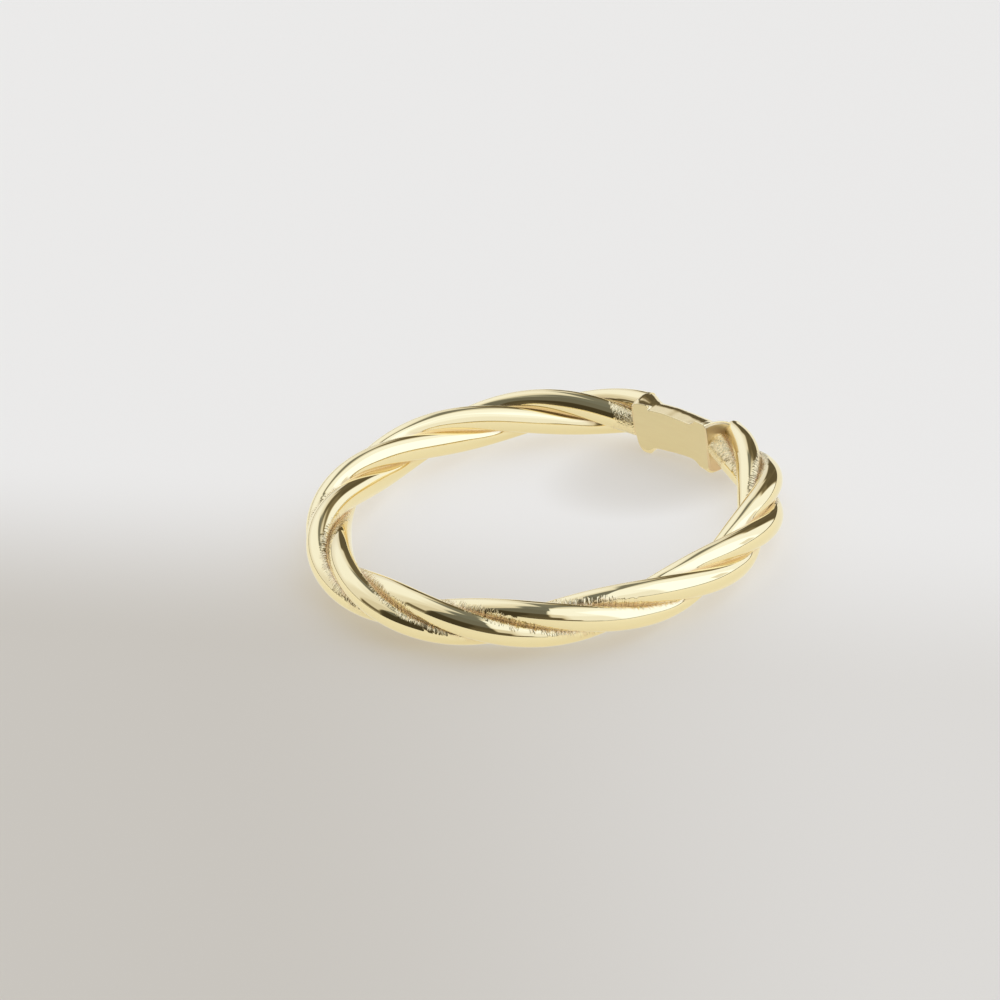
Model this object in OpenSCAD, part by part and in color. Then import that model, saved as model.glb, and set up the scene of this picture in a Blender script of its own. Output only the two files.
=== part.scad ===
// Rope twist ring: strands laid up into a rope, bent round to a ring and closed
// by a short waisted bar with a flat inner face.
// The ring lies flat: its axis is Z, it stands on Z = 0 and the bar is on +Y.

/* [Ring] */
// Inside diameter, across the crests of the rope
inside_d = 17.3; // [15:0.1:22]

/* [Rope] */
// Diameter of the circle round the twisted strands
rope_d = 2.2; // [1.8:0.05:2.5]
// Diameter of one strand; its neighbours sink into it
strand_d = 1.24; // [1.16:0.02:1.8]
// How much deeper the grooves between the strands are cut
groove_d = 0.1; // [0:0.01:0.2]
// Number of strands
strands = 3; // [2:1:4]
// Length of rope in which a strand goes once round, along the middle
lay = 14.9; // [10:0.1:25]
// Turn of the rope about itself where it leaves the bar
lay_start = 80; // [0:1:119]

/* [Bar] */
// Length of the bar along the middle of the rope
bar_l = 5.04; // [3:0.02:8]
// Height of the bar at its waist
waist_h = 1.88; // [1.2:0.02:2.4]
// Thickness of the bar at its waist
waist_t = 1.5; // [0.8:0.05:2]
// Length of the collar at each end of the bar
collar_l = 0.9; // [0.4:0.01:1.3]
// Height of the collars
collar_h = 2.4; // [2:0.02:2.8]
// Radius to which the ends of the collars are rounded
rim_r = 0.12; // [0.04:0.02:0.24]
// Depth of the bar's flat top and foot, behind its inner face
flat_w = 0.42; // [0.3:0.02:0.6]
// How far the outside of the collars stands back from the rope's crests
collar_set = 0.03; // [0:0.01:0.15]

/* [Hidden] */
// Columns of facets to a strand, and rings of facets along the rope
strand_cols = 12;
rope_rings = 141;
// Thickness of the step from the rope to the end of the bar
seam = 0.02;

mid_r = inside_d / 2 + rope_d / 2;
// Distance of each strand's middle from the rope's middle
strand_q = (rope_d - strand_d) / 2;
cols = strands * strand_cols;
col_a = 360 / cols;
// Angle on the ring that a length along the rope's middle takes
function ring_a(l) = l * 180 / (PI * mid_r);
bar_a = ring_a(bar_l);
rope_a = 360 - bar_a - 2 * ring_a(seam);
lay_a = ring_a(lay);

// Distance from the rope's middle to the outside of the nearest strand, at an
// angle t from that strand
function strand_reach(t) =
    strand_q * cos(t) + sqrt(max(0, pow(strand_d / 2, 2) - pow(strand_q * sin(t), 2)))
    - groove_d * exp(-pow((180 / strands - abs(t)) / 12, 2));
function rope_reach(a) =
    let (pitch = 360 / strands, t = a - pitch * round(a / pitch))
    strand_reach(t);

// One ring of points round the rope: [distance from the ring's axis, height]
first_col = round(lay_start / col_a);
function rope_turn(f) = lay_start - 360 * f * rope_a / lay_a;
function rope_ring(f) = [
    for (j = [0 : cols - 1])
    let (own = col_a * (j - first_col), a = own + rope_turn(f))
    [mid_r + rope_reach(own) * cos(a), rope_reach(own) * sin(a)]
];

// The bar's profile from an end to the middle. Place: 0 to 1 along the collar,
// 1 to 2 from there to the middle. Then shares of the collar's extra height: on
// top at the inner face's edge and behind the flat, at the bar's one end and at
// its other end, then of the foot at each end. Last, the shares of the collar's
// extra thickness at each end.
profile = [
    [0.00, 1.60, 1.72, 0.80, 1.10, 1.02, -1.40, 0.55, 0.85],
    [0.10, 1.58, 1.45, 0.92, 1.14, 1.02, -0.30, 0.50, 0.90],
    [0.20, 1.55, 1.00, 1.02, 1.10, 0.98, 0.70, 0.42, 0.86],
    [0.35, 1.51, 0.62, 1.09, 0.92, 0.80, 1.50, 0.32, 0.70],
    [0.55, 1.45, 0.48, 1.12, 0.60, 0.70, 1.76, 0.22, 0.46],
    [0.75, 1.40, 0.40, 1.12, 0.36, 0.67, 1.72, 0.16, 0.28],
    [0.88, 1.36, 0.35, 1.06, 0.26, 0.60, 1.36, 0.12, 0.19],
    [1.00, 1.12, 0.28, 0.16, 0.16, 0.22, 0.86, 0.08, 0.12],
    [1.07, 0.78, 0.22, 0.16, 0.13, -0.08, 0.20, 0.06, 0.09],
    [1.15, 0.46, 0.16, 0.19, 0.15, -0.30, 0.02, 0.04, 0.06],
    [1.30, 0.15, 0.08, 0.22, 0.18, -0.42, -0.03, 0.02, 0.03],
    [1.60, 0.06, 0.02, 0.22, 0.18, -0.38, -0.08, 0.00, 0.01],
    [2.00, 0.10, 0.06, 0.10, 0.06, -0.22, -0.22, 0.00, 0.00],
];
function place(p) =
    p <= 1 ? p * collar_l : collar_l + (p - 1) * (bar_l / 2 - collar_l);
function between(low, high, share) = low + (high - low) * share;
function half_h(share) = between(waist_h, collar_h, share) / 2;
stand = max(rope_d / 2, max([
    for (row = profile, foot = [row[5], row[6]]) half_h(foot) - rim_cut(row)
]));

// What the rounding of the collar's end takes off its top, foot and back, at a row
// of the profile
function rim_cut(row) =
    let (left = max(0, rim_r - place(row[0])))
    0.75 * (rim_r - sqrt(rim_r * rim_r - left * left));

// Shape of the bar across: flat inside, with a small round at its edges and a
// bigger one at the feet, then a flat top and foot and a round back
edge_r = 0.03;
foot_r = 0.14;
// Extra rounding of the feet's inner edges toward the ends of the bar, and its length
toe_r = 0.2;
toe_l = 0.35;
edge_col = round(130 / col_a);
face_col = round(150 / col_a);
back_power = 2 / 2.15;
function bulge(v) = sign(v) * pow(abs(v), back_power);
function bar_point(a, edge_h, back_h, back, flat, round_r) =
    let (
        up = abs(a), side = sign(a),
        edge_a = edge_col * col_a, face_a = face_col * col_a
    )
    up <= 90
    ? [flat + (back - flat) * bulge(cos(a)), back_h * bulge(sin(a))]
    : up <= edge_a
    ? let (f = (up - 90) / (edge_a - 90))
    [between(flat, round_r, f), side * between(back_h, edge_h, f)]
    : up <= face_a
    ? let (f = 90 * (up - edge_a) / (face_a - edge_a))
    [round_r * (1 - sin(f)), side * (edge_h - round_r * (1 - cos(f)))]
    : [0, side * (edge_h - round_r) * (180 - up) / (180 - face_a)];
function bar_ring(row, end) =
    let (
        cut = rim_cut(row),
        top = [half_h(row[1 + 2 * end]) - cut, half_h(row[2 + 2 * end]) - cut],
        foot = half_h(row[5 + end]) - cut,
        back = between(waist_t, rope_d - collar_set, row[7 + end]) - cut,
        flat = end == 0 ? flat_w * (1 - 0.5 * min(1, max(0, row[1]))) : flat_w,
        toe = pow(max(0, 1 - place(row[0]) / toe_l), 2),
        foot_edge = min(0.9 * flat_w, edge_r + foot_r * max(0, row[5 + end]) + toe_r * toe)
    )
    [
        for (j = [0 : cols - 1])
        let (
            a = j * col_a > 180 ? j * col_a - 360 : j * col_a,
            p = a < 0
                ? bar_point(a, foot, foot, back, flat_w, foot_edge)
                : bar_point(a, top[0], top[1], back, flat, edge_r)
        )
        [inside_d / 2 + p[0], p[1]]
    ];

// Angles round the ring and the rings of points that stand there
last = len(profile) - 1;
half_rows = [for (i = [0 : last]) i];
rows = concat(half_rows, [for (i = [last - 1 : -1 : 0]) i]);
bar_angles = [
    for (k = [0 : len(rows) - 1])
    let (d = ring_a(place(profile[rows[k]][0])))
    k <= last ? 90 - bar_a / 2 + d : 90 + bar_a / 2 - d
];
rope_angles = [
    for (i = [0 : rope_rings - 1])
    90 + bar_a / 2 + ring_a(seam) + rope_a * i / (rope_rings - 1)
];
angles = concat(bar_angles, rope_angles);
rings = concat(
    [for (k = [0 : len(rows) - 1]) bar_ring(profile[rows[k]], k <= last ? 0 : 1)],
    [for (i = [0 : rope_rings - 1]) rope_ring(i / (rope_rings - 1))]
);
count = len(rings);
// Columns by which the rope has turned when it reaches the bar again
turned = round((rope_turn(1) - col_a * first_col) / col_a);

function wrap(j) = (j % cols + cols) % cols;
function corner(i, j) =
    i < count ? i * cols + wrap(j) : wrap(j + turned);

module ring() {
    color([0.88, 0.77, 0.5])
    translate([0, 0, stand])
    polyhedron(
        points = [
            for (i = [0 : count - 1], p = rings[i])
            [p[0] * cos(angles[i]), p[0] * sin(angles[i]), p[1]]
        ],
        faces = [
            for (i = [0 : count - 1], j = [0 : cols - 1], upper = [0, 1])
            upper == 0
            ? [corner(i, j), corner(i, j + 1), corner(i + 1, j + 1)]
            : [corner(i, j), corner(i + 1, j + 1), corner(i + 1, j)]
        ],
        convexity = 6
    );
}

ring();
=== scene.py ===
import math

import bmesh
import bpy
from bpy.props import (
    FloatProperty,
    FloatVectorProperty,
    IntProperty,
    PointerProperty,
)
from mathutils import Matrix, Vector


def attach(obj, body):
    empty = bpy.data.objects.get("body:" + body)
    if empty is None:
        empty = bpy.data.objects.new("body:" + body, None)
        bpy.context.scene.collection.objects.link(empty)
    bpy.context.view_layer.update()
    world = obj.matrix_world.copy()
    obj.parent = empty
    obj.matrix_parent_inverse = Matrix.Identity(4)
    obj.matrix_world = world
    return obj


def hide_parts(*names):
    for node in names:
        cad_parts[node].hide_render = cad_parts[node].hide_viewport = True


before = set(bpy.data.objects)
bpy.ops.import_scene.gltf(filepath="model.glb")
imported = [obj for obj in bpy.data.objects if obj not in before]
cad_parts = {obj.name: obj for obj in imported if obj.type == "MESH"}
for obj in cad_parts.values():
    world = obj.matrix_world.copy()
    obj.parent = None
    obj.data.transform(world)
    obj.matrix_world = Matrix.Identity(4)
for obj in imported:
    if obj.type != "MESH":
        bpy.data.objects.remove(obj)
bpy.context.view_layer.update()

bl_info = {
    "name": "Rope twist ring",
    "version": (1, 0, 0),
    "blender": (4, 5, 0),
    "location": "3D View > Sidebar > Rope ring",
    "description": "A polished gold ring of twisted strands with a flat bar, on a plain floor",
    "category": "Add Mesh",
}

MM = 0.001


# ---- Sizes, finish and stage -------------------------------------------------


def length(name, description, default, low, high):
    """A length in metres, shown in the scene's own unit."""
    return FloatProperty(
        name=name, description=description, default=default * MM,
        min=low * MM, max=high * MM, precision=5, unit="LENGTH", subtype="DISTANCE",
    )


def angle(name, description, default):
    """An angle that is given in degrees and kept in radians."""
    return FloatProperty(
        name=name, description=description, default=math.radians(default), subtype="ANGLE",
    )


def share(name, description, default):
    """A number from 0 to 1."""
    return FloatProperty(
        name=name, description=description, default=default, min=0.0, max=1.0, subtype="FACTOR",
    )


def colour(name, description, default):
    """A colour as red, green and blue."""
    return FloatVectorProperty(
        name=name, description=description, default=default, size=3, min=0.0, max=1.0,
        subtype="COLOR",
    )


class RopeRingSizes(bpy.types.PropertyGroup):
    """Real sizes of the rope and the bar, the same as the solid's."""

    inside: length("Inside diameter", "Across the crests of the rope", 17.3, 15, 22)
    rope: length("Rope", "Circle round the twisted strands", 2.2, 1.8, 2.5)
    strand: length("Strand", "Diameter of one strand", 1.24, 1.16, 1.8)
    groove: length("Groove", "How much deeper the grooves of the rope are cut", 0.1, 0, 0.2)
    strands: IntProperty(name="Strands", description="Number of strands", default=3, min=2, max=4)
    lay: length("Lay", "Length in which a strand goes once round the rope", 14.9, 10, 25)
    lay_start: angle("First turn", "Turn of the rope where it leaves the bar", 80)
    bar: length("Bar", "Length of the bar along the rope's middle", 5.04, 3, 8)
    waist_height: length("Waist height", "Height of the bar at its middle", 1.88, 1.2, 2.4)
    waist_depth: length("Waist thickness", "Thickness of the bar at its middle", 1.5, 0.8, 2)
    collar: length("Collar", "Length of the collar at each end of the bar", 0.9, 0.4, 1.3)
    collar_height: length("Collar height", "Height of the collars", 2.4, 2, 2.8)
    rim: length("Rim", "Radius to which the ends of the collars are rounded", 0.12, 0.04, 0.24)
    flat: length("Flat top", "Depth of the bar's flat top and foot", 0.42, 0.3, 0.6)
    collar_set: length("Collar set", "From the rope's crests to the collar's back", 0.03, 0, 0.15)


class RopeRingFinish(bpy.types.PropertyGroup):
    """Colours and textures of the gold."""

    gold: colour("Gold", "Pale yellow gold at a right angle to the eye", (0.94, 0.79, 0.46))
    face: colour("Face", "Gold of the bar's brushed face", (0.84, 0.71, 0.41))
    # Painted shade in the creases between strands and low on the bar's ends, and the colour of
    # the cast marks and the grain
    groove: colour("Groove", "Deeper colour low in the grooves", (0.76, 0.54, 0.32))
    gloss: share("Polish", "Roughness of the polished strands", 0.025)
    satin: share("Satin", "Roughness of the bar's flat face", 0.34)
    hatch: share("Cast marks", "Depth of the marks left across the grooves", 1.0)


class RopeRingStage(bpy.types.PropertyGroup):
    """Camera, floor and light."""

    azimuth: angle("Azimuth", "Camera's direction round the ring", 46.9)
    elevation: angle("Elevation", "Camera's height above the floor", 28.35)
    roll: angle("Roll", "Turn of the camera about its own axis", -6.81)
    distance: length("Distance", "From the camera to the ring", 397.5, 100, 2000)
    lens: FloatProperty(
        name="Lens", description="Focal length in millimetres", default=320.5, min=20,
    )
    aside: length("Aside", "Ring's middle to the right of the picture's", 1.975, -20, 20)
    below: length("Below", "Ring's middle under the picture's", 0.664, -20, 20)
    floor: colour("Floor", "Plain pale floor", (0.3, 0.3, 0.29))
    glow: colour("Glow", "Light that comes up through the floor", (0.58, 0.55, 0.505))
    # Glow of the floor where its painted shadow lies, in front of the ring and by the bar
    painted_shadow_glow: colour("Near glow", "The same in front of the ring", (0.34, 0.29, 0.21))
    bounce: colour("Bounce", "Light from the floor that falls on the ring", (0.645, 0.64, 0.565))


# ---- Shader maths ------------------------------------------------------------


class Value:
    """A number socket, on which Python's operators add Math nodes."""

    def __init__(self, nodes, socket):
        self.nodes = nodes
        self.socket = socket

    def __add__(self, other): return self.nodes.maths("ADD", self, other)
    def __radd__(self, other): return self.nodes.maths("ADD", other, self)
    def __sub__(self, other): return self.nodes.maths("SUBTRACT", self, other)
    def __rsub__(self, other): return self.nodes.maths("SUBTRACT", other, self)
    def __mul__(self, other): return self.nodes.maths("MULTIPLY", self, other)
    def __rmul__(self, other): return self.nodes.maths("MULTIPLY", other, self)
    def __abs__(self): return self.nodes.maths("ABSOLUTE", self)

    def clamped(self):
        """The value, held between 0 and 1."""
        return self.nodes.maths("ADD", self, 0.0, clamp=True)

    def step(self, low, high, start=0.0, end=1.0):
        """A smooth step from start to end as the value goes from low to high."""
        return self.nodes.add(
            "ShaderNodeMapRange", {"interpolation_type": "SMOOTHSTEP"},
            {"Value": self, "From Min": low, "From Max": high, "To Min": start, "To Max": end},
            "Result",
        )

    def within(self, low, high, soft):
        """1 between low and high, falling to 0 over soft on either side."""
        return self.step(low - soft, low + soft) * self.step(high - soft, high + soft, 1.0, 0.0)


class Nodes:
    """The nodes of one material or world."""

    def __init__(self, owner):
        owner.use_nodes = True
        self.tree = owner.node_tree
        self.tree.nodes.clear()

    def add(self, kind, settings=None, inputs=None, output=0):
        """Adds a node: its settings first, then its inputs' values or links."""
        node = self.tree.nodes.new(kind)
        for key, value in (settings or {}).items():
            setattr(node, key, value)
        for key, value in (inputs or {}).items():
            if isinstance(value, Value):
                value = value.socket
            if isinstance(value, bpy.types.NodeSocket):
                self.tree.links.new(value, node.inputs[key])
            else:
                node.inputs[key].default_value = value
        return Value(self, node.outputs[output]) if len(node.outputs) else None

    def maths(self, operation, *inputs, clamp=False):
        """Adds a Math node."""
        return self.add(
            "ShaderNodeMath", {"operation": operation, "use_clamp": clamp},
            dict(enumerate(inputs)),
        )

    def split(self, vector):
        """The three parts of a vector or a colour."""
        node = self.add("ShaderNodeSeparateXYZ", None, {"Vector": vector}).socket.node
        return [Value(self, output) for output in node.outputs]


# ---- Shaping the metal -------------------------------------------------------


def middle_radius(sizes):
    return (sizes.inside + sizes.rope) / 2


def bar_angle(sizes):
    return sizes.bar / middle_radius(sizes)


def between(low, high, part):
    return low + (high - low) * part


def sleeve(bm, columns, steps):
    """A closed sleeve rolled from a grid: its vertices by share round and share along."""
    bmesh.ops.create_grid(bm, x_segments=columns, y_segments=steps, size=0.5)
    return [(vert, vert.co.x + 0.5, vert.co.y + 0.5) for vert in bm.verts]


def close_sleeve(bm):
    """Joins the sleeve's long edges and caps its ends."""
    bmesh.ops.remove_doubles(bm, verts=bm.verts, dist=1e-7)
    rims = [edge for edge in bm.edges if edge.is_boundary]
    bmesh.ops.holes_fill(bm, edges=rims, sides=0)


def bend_round(bm, sizes, start):
    """Bends what lies along Y round the ring's axis, its middle on the rope's middle."""
    middle = middle_radius(sizes)
    height = stand(sizes)
    for vert in bm.verts:
        outward, along, up = vert.co
        at = start + along / middle
        radius = middle + outward
        vert.co = (radius * math.cos(at), radius * math.sin(at), height + up)


# Half-width of the grooves, as a turn round the rope's middle
GROOVE_TURN = math.radians(12)


def strand_reach(sizes, off):
    """Distance from the rope's middle to a strand's outside, at a turn from the strand."""
    middle = (sizes.rope - sizes.strand) / 2
    side = middle * math.sin(off)
    round_reach = middle * math.cos(off) + math.sqrt(max(0.0, (sizes.strand / 2) ** 2 - side**2))
    from_groove = math.pi / sizes.strands - abs(off)
    return round_reach - sizes.groove * math.exp(-((from_groove / GROOVE_TURN) ** 2))


# Length of rope by the bar where the inner strand is raw, and the part where that fades
RAW_END, RAW_FADE = 2.2 * MM, 1.2 * MM


def twist_rope(bm, sizes, steps=560, columns=32, bury=0.22 * MM, spread=0.05 * MM):
    """Strands side by side round the rope's middle, twisted, with both ends in the collars.

    The buried ends are spread a little, to meet the collars all round. Each vertex keeps
    its place: across its strand, -1 to 1, along the rope, in millimetres, and how raw it is.
    """
    travel = (math.tau - bar_angle(sizes)) * middle_radius(sizes) + 2 * bury
    pitch = math.tau / sizes.strands
    across = bm.verts.layers.float.new("across")
    along = bm.verts.layers.float.new("along")
    raw = bm.verts.layers.float.new("raw")
    for vert, around, onward in sleeve(bm, columns * sizes.strands, steps):
        turn = math.tau * around
        off = turn - pitch * round(turn / pitch)
        reach = strand_reach(sizes, off)
        far = onward * travel
        buried = max(0.0, bury - far, far - travel + bury) / bury
        turn += sizes.lay_start - (far - bury) * math.tau / sizes.lay
        vert[across] = off / (pitch / 2)
        vert[along] = far / MM
        by_bar = min(1.0, max(0.0, (RAW_END - min(far, travel - far)) / RAW_FADE))
        vert[raw] = max(0.0, -math.cos(turn - off)) * by_bar
        outward = spread * min(1.0, 4 * buried)
        vert.co = (reach * math.cos(turn) + outward, far, reach * math.sin(turn))
    close_sleeve(bm)
    bend_round(bm, sizes, (math.pi + bar_angle(sizes)) / 2 - bury / middle_radius(sizes))


# Profile of the bar from its ends to its middle. Place: 0 to 1 along the collar, 1 to 2
# from there to the middle. Then shares of the collar's extra height: on top at the flat
# face's edge and behind the flat, at the bar's one end and at its other end, then of the
# foot at each end. Last, the shares of the collar's extra thickness at each end.
BAR_PROFILE = (
    (0.00, 1.60, 1.72, 0.80, 1.10, 1.02, -1.40, 0.55, 0.85),
    (0.10, 1.58, 1.45, 0.92, 1.14, 1.02, -0.30, 0.50, 0.90),
    (0.20, 1.55, 1.00, 1.02, 1.10, 0.98, 0.70, 0.42, 0.86),
    (0.35, 1.51, 0.62, 1.09, 0.92, 0.80, 1.50, 0.32, 0.70),
    (0.55, 1.45, 0.48, 1.12, 0.60, 0.70, 1.76, 0.22, 0.46),
    (0.75, 1.40, 0.40, 1.12, 0.36, 0.67, 1.72, 0.16, 0.28),
    (0.88, 1.36, 0.35, 1.06, 0.26, 0.60, 1.36, 0.12, 0.19),
    (1.00, 1.12, 0.28, 0.16, 0.16, 0.22, 0.86, 0.08, 0.12),
    (1.07, 0.78, 0.22, 0.16, 0.13, -0.08, 0.20, 0.06, 0.09),
    (1.15, 0.46, 0.16, 0.19, 0.15, -0.30, 0.02, 0.04, 0.06),
    (1.30, 0.15, 0.08, 0.22, 0.18, -0.42, -0.03, 0.02, 0.03),
    (1.60, 0.06, 0.02, 0.22, 0.18, -0.38, -0.08, 0.00, 0.01),
    (2.00, 0.10, 0.06, 0.10, 0.06, -0.22, -0.22, 0.00, 0.00),
)


def profile_at(sizes, from_end):
    """The profile's shares at a distance from the bar's end, on curves without overshoot."""
    rows = BAR_PROFILE
    place = from_end / sizes.collar
    if place > 1:
        place = min(2.0, 1 + (from_end - sizes.collar) / (sizes.bar / 2 - sizes.collar))
    k = max(i for i in range(len(rows) - 1) if rows[i][0] <= place)
    span = rows[k + 1][0] - rows[k][0]
    part = (place - rows[k][0]) / span

    def slope(i, column):
        """Slope of the curve at a row: none at the ends and where it turns back."""
        if i in (0, len(rows) - 1):
            return 0.0
        before, after = (
            (rows[j + 1][column] - rows[j][column]) / (rows[j + 1][0] - rows[j][0])
            for j in (i - 1, i)
        )
        return 0.0 if before * after <= 0 else 2 * before * after / (before + after)

    return [
        (2 * part**3 - 3 * part**2 + 1) * rows[k][column]
        + (part**3 - 2 * part**2 + part) * span * slope(k, column)
        + (3 * part**2 - 2 * part**3) * rows[k + 1][column]
        + (part**3 - part**2) * span * slope(k + 1, column)
        for column in range(1, len(rows[0]))
    ]


def rim_cut(sizes, from_end):
    """What the rounding of the collar's end takes off its top, foot and back."""
    left = max(0.0, sizes.rim - from_end)
    return 0.75 * (sizes.rim - math.sqrt(sizes.rim**2 - left**2))


def half_height(sizes, part):
    """Half the bar's height, from a share of what the collars have more than the waist."""
    return between(sizes.waist_height, sizes.collar_height, part) / 2


def stand(sizes):
    """Height of the ring's middle above the floor that it lies on."""
    feet = (
        half_height(sizes, foot) - rim_cut(sizes, row[0] * sizes.collar)
        for row in BAR_PROFILE for foot in row[5:7]
    )
    return max(sizes.rope / 2, *feet)


# Where the bar's section goes from its round back to its flat top or foot, from there to
# the round of the edge, and from there to the flat face, as shares of the way round
TO_FLAT, TO_EDGE, TO_FACE = 0.42, 0.6, 0.8
# How square the back is: 1 is an ellipse, less is squarer
BACK_POWER = 2 / 2.15
# Round of the flat face's edges, what the feet add to it, and what they add toward the
# bar's ends, with the length over which they do
EDGE_ROUND, FOOT_ROUND, TOE_ROUND, TOE_LENGTH = 0.03 * MM, 0.14 * MM, 0.2 * MM, 0.35 * MM


def bar_point(around, edge, back, depth, flat, corner):
    """A point of the bar's section: distance from the flat face, and height."""
    half = abs(around)
    side = math.copysign(1.0, around)
    if half <= TO_FLAT:
        turn = math.pi / 2 * half / TO_FLAT
        return (
            flat + (depth - flat) * max(0.0, math.cos(turn)) ** BACK_POWER,
            side * back * math.sin(turn) ** BACK_POWER,
        )
    if half <= TO_EDGE:
        part = (half - TO_FLAT) / (TO_EDGE - TO_FLAT)
        return between(flat, corner, part), side * between(back, edge, part)
    if half <= TO_FACE:
        turn = math.pi / 2 * (half - TO_EDGE) / (TO_FACE - TO_EDGE)
        return (
            corner * (1 - math.sin(turn)),
            side * (edge - corner * (1 - math.cos(turn))),
        )
    return 0.0, side * (edge - corner) * (1 - half) / (1 - TO_FACE)


def shape_bar(bm, sizes, steps=260, columns=120, hollow=0.12 * MM, rim=0.05 * MM):
    """The bar as a sleeve pressed to its section station by station, then bent.

    Its ends are hollowed inside a narrow rim. The flat face and the ends take the second
    and the third material.
    """
    for vert, around, onward in sleeve(bm, columns, steps):
        far = sizes.bar * (1 - math.cos(math.pi * onward)) / 2
        from_end = min(far, sizes.bar - far)
        cut = rim_cut(sizes, from_end)
        shares = profile_at(sizes, from_end)
        other = onward > 0.5
        flat = sizes.flat
        corner = EDGE_ROUND
        if around < 0.5:
            foot = shares[4 + other]
            edge = behind = half_height(sizes, foot) - cut
            toe = max(0.0, 1 - from_end / TOE_LENGTH) ** 2
            corner += FOOT_ROUND * max(0.0, foot) + TOE_ROUND * toe
        else:
            edge = half_height(sizes, shares[2 * other]) - cut
            behind = half_height(sizes, shares[1 + 2 * other]) - cut
            if not other:
                flat *= 1 - 0.5 * min(1.0, max(0.0, shares[0]))
        thick = between(sizes.waist_depth, sizes.rope - sizes.collar_set, shares[6 + other]) - cut
        inward, height = bar_point(2 * around - 1, edge, behind, thick, flat, corner)
        vert.co = (inward - sizes.rope / 2, far, height)
    close_sleeve(bm)
    ends = [face for face in bm.faces if len(face.verts) > 4]
    for face in bm.faces:
        if all(vert.co.x < 1e-6 - sizes.rope / 2 for vert in face.verts):
            face.material_index = 1
    for face in ends:
        face.material_index = 2
    bmesh.ops.inset_region(
        bm, faces=ends, thickness=rim, depth=-hollow, use_even_offset=True,
    )
    bend_round(bm, sizes, (math.pi - bar_angle(sizes)) / 2)


# The least angle between two faces that makes their edge a sharp one
SHARP_EDGE = math.radians(32)


class PieceOperator:
    """What the operators that make a piece share."""

    bl_options = {"REGISTER", "UNDO"}

    @staticmethod
    def finish(name, bm, *materials):
        """Smooths the faces, keeps the sharp edges and has the piece take the ring's place."""
        bmesh.ops.recalc_face_normals(bm, faces=bm.faces)
        for face in bm.faces:
            face.smooth = True
        for edge in bm.edges:
            edge.smooth = edge.calc_face_angle(0.0) < SHARP_EDGE
        mesh = bpy.data.meshes.new(name)
        bm.to_mesh(mesh)
        bm.free()
        for material in materials:
            mesh.materials.append(material)
        piece = bpy.data.objects.new(name, mesh)
        bpy.context.scene.collection.objects.link(piece)
        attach(piece, "root")
        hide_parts("ring")


def gold_surface(material, nodes, metal, gloss, *bumps):
    """The metal itself: its colour, its polish and one bump after another."""
    normal = None
    for height, depth in bumps:
        inputs = {"Height": height, "Strength": 1.0, "Distance": depth}
        if normal is not None:
            inputs["Normal"] = normal
        normal = nodes.add("ShaderNodeBump", None, inputs, "Normal")
    shader = nodes.add(
        "ShaderNodeBsdfPrincipled", None,
        {"Base Color": metal, "Metallic": 1.0, "Roughness": gloss, "Normal": normal},
    )
    nodes.add("ShaderNodeOutputMaterial", None, {"Surface": shader})
    return material


def mixed(nodes, first, second, factor):
    """Two colours, each given as three numbers or as a node's output, mixed by a factor."""
    first, second = (c if isinstance(c, Value) else (*c, 1.0) for c in (first, second))
    return nodes.add(
        "ShaderNodeMix", {"data_type": "RGBA"}, {"Factor": factor, 6: first, 7: second}, 2,
    )


def noise(nodes, place, scale, detail, roughness):
    """Soft noise between 0 and 1."""
    return nodes.add(
        "ShaderNodeTexNoise", None,
        {"Vector": place, "Scale": scale, "Detail": detail, "Roughness": roughness}, "Fac",
    )


def polished_gold(finish):
    """High polish; cast marks lie across the grooves and by the bar, where no polish reaches, and
    shade is painted deep in the grooves.

    The marks reach furthest up on the half of the rope that faces the bar and by its last
    collar. Places along the rope are in millimetres from its first collar.
    """
    material = bpy.data.materials.new("Polished gold")
    nodes = Nodes(material)
    along, across, raw = (
        nodes.add("ShaderNodeAttribute", {"attribute_name": name}, output="Fac")
        for name in ("along", "across", "raw")
    )
    here = nodes.add("ShaderNodeTexCoord", output="Object")
    side = abs(across)
    cell = nodes.add(
        "ShaderNodeCombineXYZ", None,
        {"X": along * 8.0 + side * 1.6, "Y": across * 1.8, "Z": 0.0},
    )
    marks = noise(nodes, cell, 1.0, 2.0, 0.6).step(0.38, 0.62)
    ragged = noise(nodes, here, 1500.0, 2.0, 0.5)
    polished = 1.0 - along.within(17.5, 41.0, 1.5) - along.step(49.0, 51.0)
    reach = side + (ragged - 0.5) * 0.4 - polished * 0.4 + raw * 1.5
    cast = reach.step(0.62, 0.86) * finish.hatch
    fine = noise(nodes, here, 9000.0, 2.0, 0.6).step(0.35, 0.65)
    marks = marks * (1.0 - raw) + fine * raw * 0.5
    # Painted shade: toward each crease between the strands the gold takes the groove's colour
    painted_shade = side.step(0.82, 1.0)
    wave = noise(nodes, here, 500.0, 1.0, 0.4)
    # Groove's colour mixed in as painted shade by the creases and as the real cast marks
    texture_and_painted_shade = painted_shade * 0.8 + marks * cast * 0.4
    return gold_surface(
        material, nodes,
        mixed(nodes, finish.gold, finish.groove, texture_and_painted_shade.clamped()),
        cast * 0.1 + painted_shade * 0.2 + finish.gloss,
        (marks * cast, 0.03 * MM), (wave, 0.006 * MM),
    )


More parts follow.
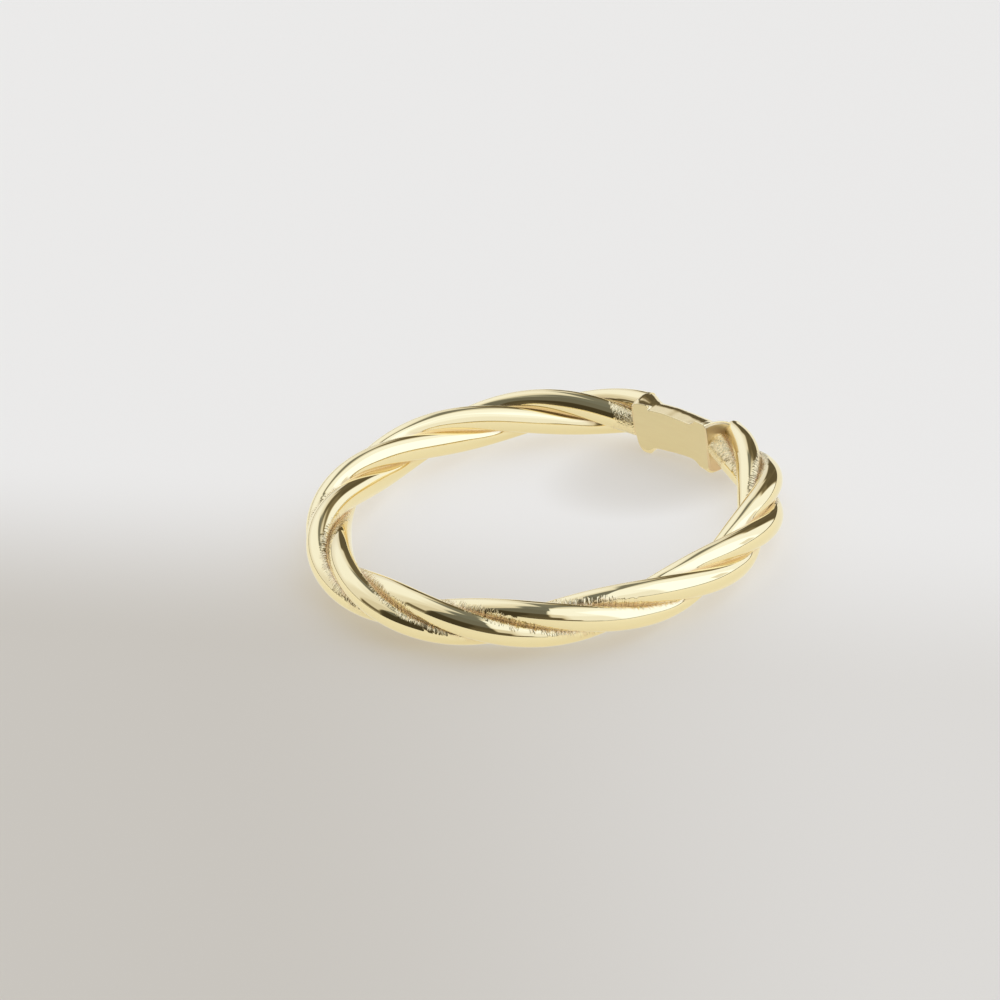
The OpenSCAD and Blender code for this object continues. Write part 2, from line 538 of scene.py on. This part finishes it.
def bar_gold(name, metal, groove, gloss, painted_shade, depth):
    """Metal with a fine level grain, in two colours.

    The groove's colour comes in with the grain, and toward the foot as painted shade, by the
    share given for it.
    The depth is the grain's, in millimetres.
    """
    material = bpy.data.materials.new(name)
    nodes = Nodes(material)
    here = nodes.add("ShaderNodeTexCoord", output="Object")
    stretched = nodes.add(
        "ShaderNodeMapping", None, {"Vector": here, "Scale": (700.0, 700.0, 7000.0)},
    )
    grain = noise(nodes, stretched, 1.0, 2.0, 0.6)
    wave = noise(nodes, here, 900.0, 1.0, 0.4)
    # Painted shade: more of the groove's colour toward the foot, most below 0.2 mm above the
    # floor
    low = nodes.split(here)[2].step(0.2 * MM, 1.8 * MM, 1.0, 0.35)
    texture_and_painted_shade = grain * 0.25 + low * painted_shade
    return gold_surface(
        material, nodes, mixed(nodes, metal, groove, texture_and_painted_shade), grain * 0.12 + gloss,
        (grain, depth * MM), (wave, 0.008 * MM),
    )


class ROPERING_OT_rope(bpy.types.Operator, PieceOperator):
    """Makes the band: strands twisted into a rope and bent round to the bar"""

    bl_idname = "ropering.rope"
    bl_label = "Rope band"

    def execute(self, context):
        sizes = context.scene.rope_ring_sizes
        bm = bmesh.new()
        twist_rope(bm, sizes)
        self.finish("rope_band", bm, polished_gold(context.scene.rope_ring_finish))
        return {"FINISHED"}


class ROPERING_OT_bar(bpy.types.Operator, PieceOperator):
    """Makes the bar: a short waisted bar with a flat inner face and a collar at each end"""

    bl_idname = "ropering.bar"
    bl_label = "Bar"

    def execute(self, context):
        bm = bmesh.new()
        shape_bar(bm, context.scene.rope_ring_sizes)
        finish = context.scene.rope_ring_finish
        self.finish(
            "bar", bm,
            bar_gold("Bar gold", finish.gold, finish.groove, finish.gloss, 0.0, 0.0005),
            bar_gold("Satin gold", finish.face, finish.groove, finish.satin, 0.0, 0.002),
            # The ends' gold is painted darker toward the foot, as shade
            bar_gold("Cast gold", finish.gold, finish.groove, finish.satin, 0.8, 0.004),
        )
        return {"FINISHED"}


# Brightness of the room, and of the plain backdrop that the camera sees instead
ROOM, BACKDROP = 0.76, 0.8

# What stands in the room, in degrees from the camera's right and above the floor: middle,
# half-width, lowest, highest, softness of the edge, brightness, and how cool the light is.
# None stands where there is no such edge. A later row covers an earlier one.
SURROUNDINGS = (
    (-20, 78, None, None, 8, 1.0, 0),
    (-20, 84, 42, None, 6, 1.15, 0),
    (-98, 9, 10, 44, 4, 0.75, 0),
    (32, 22, 2, 76, 6, 1.12, 0),
    (-16, 34, 4, 70, 4, 1.34, 0),
    (5, 7, 6, 21, 2, 0.88, 0),
    (69, 7, 36, 76, 4, 0.82, 0),
    (130, 46, None, 72, 5, 0.86, 0),
    (124, 30, 14, 60, 10, 1.08, 0),
    (88, 6, 10, 23.5, 1.5, 0.85, 0),
    (64, 15, None, 37, 3, 0.18, 0),
    (60, 9, None, 28, 2, 0.1, 0),
    (79, 9, None, 21, 2, 0.1, 0),
    (75, 7, 15, 42, 3, 0.12, 0),
    (82, 9, 38, 80, 3, 0.22, 0.6),
    (170, 90, 73, None, 3, 0.2, 0.7),
    (-173, 12, None, 64, 4, 0.72, 0),
    (-135.5, 30, None, 76, 1.5, 0.17, 0.6),
    (-135, 31, None, 42, 2, 0.085, 0.1),
    (-142.5, 21, None, 38, 3, 0.05, 0),
    (-110, 16, None, 21, 2.5, 0.1, 0),
    (-105, 24, None, 9, 2, 0.11, 0),
    (-98, 32, None, 4, 1, 0.12, 0),
    (-175, 10, 5, 21, 2, 0.14, 0),
    (None, None, None, 2.4, 0.5, 0.1, 0),
)


def toward_camera(nodes, stage, place):
    """A place or a direction as its parts to the camera's right, away from it and up."""
    return nodes.split(nodes.add(
        "ShaderNodeVectorRotate", {"rotation_type": "Z_AXIS"},
        {"Vector": place, "Angle": -stage.azimuth},
    ))


class ROPERING_OT_stage(bpy.types.Operator):
    """Sets up the floor, the soft light and the camera"""

    bl_idname = "ropering.stage"
    bl_label = "Stage"
    bl_options = {"REGISTER", "UNDO"}

    def execute(self, context):
        stage = context.scene.rope_ring_stage
        self.floor(context, stage)
        self.light(context, stage)
        self.camera(context, stage)
        return {"FINISHED"}

    @staticmethod
    def floor(context, stage, size=2.0):
        """A plain floor with a painted shadow in front of the ring, the more so on its left, and
        by the bar.

        The ring gets an even light from it.
        """
        bm = bmesh.new()
        bmesh.ops.create_grid(bm, x_segments=1, y_segments=1, size=size)
        mesh = bpy.data.meshes.new("floor")
        bm.to_mesh(mesh)
        bm.free()
        floor = bpy.data.objects.new("floor", mesh)
        context.scene.collection.objects.link(floor)
        material = bpy.data.materials.new("Pale floor")
        nodes = Nodes(material)
        here = nodes.add("ShaderNodeTexCoord", output="Object")
        aside, away, _ = toward_camera(nodes, stage, here)
        # Painted shadow on the floor: darker in front of the ring, the more so on its left
        painted_shadow = (away + aside * 0.4).step(-12 * MM, 5 * MM, 1.0, 0.0)
        painted_shadow = painted_shadow * aside.step(-16 * MM, 16 * MM, 1.0, 0.45)
        # Painted shadow by the bar, round a point 5 mm aside and 5 mm away
        bar_aside, bar_away = aside - 5 * MM, away - 5 * MM
        from_bar = bar_aside * bar_aside + bar_away * bar_away * 1.6
        painted_shadow = 1.0 - (1.0 - painted_shadow) * from_bar.step(0.0, (5.5 * MM) ** 2, 0.5, 1.0)
        glow = mixed(nodes, stage.glow, stage.painted_shadow_glow, painted_shadow)
        seen = nodes.add("ShaderNodeLightPath", output="Is Camera Ray")
        shader = nodes.add(
            "ShaderNodeBsdfPrincipled", None,
            {
                "Base Color": (*stage.floor, 1.0), "Roughness": 0.7,
                "Emission Color": mixed(nodes, stage.bounce, glow, seen),
                "Emission Strength": 1.0,
            },
        )
        nodes.add("ShaderNodeOutputMaterial", None, {"Surface": shader})
        mesh.materials.append(material)

    @staticmethod
    def light(context, stage):
        """Soft windows and dark screens round the ring; the camera sees a plain backdrop."""
        world = bpy.data.worlds.new("Studio")
        context.scene.world = world
        nodes = Nodes(world)
        direction = nodes.add("ShaderNodeTexCoord", output="Generated")
        x, y, z = toward_camera(nodes, stage, direction)
        azimuth = nodes.maths("ARCTAN2", y, x) * (180 / math.pi)
        height = nodes.maths("ARCSINE", z) * (180 / math.pi)
        found = (ROOM, 0.0, 0.0)
        for middle, half, low, high, soft, level, coolness in SURROUNDINGS:
            mask = 1.0
            if half is not None:
                off = azimuth - middle
                if abs(middle) + half + soft > 180:
                    off = nodes.maths("WRAP", off, 180.0, -180.0)
                mask = abs(off).step(half - soft, half + soft, 1.0, 0.0)
            if low is not None:
                mask = mask * height.step(low - soft, low + soft)
            if high is not None:
                mask = mask * height.step(high - soft, high + soft, 1.0, 0.0)
            found = mixed(nodes, found, (level, coolness, 0.0), mask)
        light, cool, _ = nodes.split(found)
        seen = nodes.add("ShaderNodeLightPath", output="Is Camera Ray")
        light = light + (BACKDROP - light) * seen
        # Dim light is warmer than bright light, and cool light bluer
        tint = nodes.add(
            "ShaderNodeCombineColor", None,
            {
                "Red": light * (1.16 - light * 0.23 - cool * 0.3), "Green": light,
                "Blue": light * (light * 0.52 + 0.62 + cool * 0.45),
            },
        )
        background = nodes.add("ShaderNodeBackground", None, {"Color": tint, "Strength": 1.0})
        nodes.add("ShaderNodeOutputWorld", None, {"Surface": background})

    @staticmethod
    def camera(context, stage):
        """Puts the camera where the picture was taken from."""
        data = bpy.data.cameras.new("Camera")
        data.sensor_width = 36.0
        data.lens = stage.lens
        data.clip_start = 0.01
        camera = bpy.data.objects.new("Camera", data)
        context.scene.collection.objects.link(camera)
        context.scene.camera = camera
        tilt = Matrix.Rotation(math.pi / 2 - stage.elevation, 3, "X")
        turn = Matrix.Rotation(stage.azimuth, 3, "Z")
        aim = turn @ tilt @ Matrix.Rotation(stage.roll, 3, "Z")
        right, up, back = aim.col
        centre = Vector((0, 0, stand(context.scene.rope_ring_sizes)))
        place = centre - right * stage.aside + up * stage.below + back * stage.distance
        camera.matrix_world = Matrix.Translation(place) @ aim.to_4x4()


class ROPERING_PT_panel(bpy.types.Panel):
    """Sizes and finish of the ring, and the steps that make it"""

    bl_idname = "ROPERING_PT_panel"
    bl_label = "Rope twist ring"
    bl_space_type = "VIEW_3D"
    bl_region_type = "UI"
    bl_category = "Rope ring"

    def draw(self, context):
        for name, kind in GROUPS.items():
            box = self.layout.box()
            for key in kind.__annotations__:
                box.prop(getattr(context.scene, name), key)
        for step in STEPS:
            self.layout.operator(step.bl_idname)


STEPS = (ROPERING_OT_rope, ROPERING_OT_bar, ROPERING_OT_stage)
GROUPS = {
    "rope_ring_sizes": RopeRingSizes,
    "rope_ring_finish": RopeRingFinish,
    "rope_ring_stage": RopeRingStage,
}


def register():
    for kind in (*GROUPS.values(), *STEPS, ROPERING_PT_panel):
        bpy.utils.register_class(kind)
    for name, kind in GROUPS.items():
        setattr(bpy.types.Scene, name, PointerProperty(type=kind))


def unregister():
    for name in GROUPS:
        delattr(bpy.types.Scene, name)
    for kind in (ROPERING_PT_panel, *reversed(STEPS), *GROUPS.values()):
        bpy.utils.unregister_class(kind)


def main():
    register()
    bpy.context.scene.view_settings.view_transform = "Standard"
    for step in STEPS:
        getattr(bpy.ops.ropering, step.bl_idname.split(".")[1])()


if __name__ == "__main__":
    main()
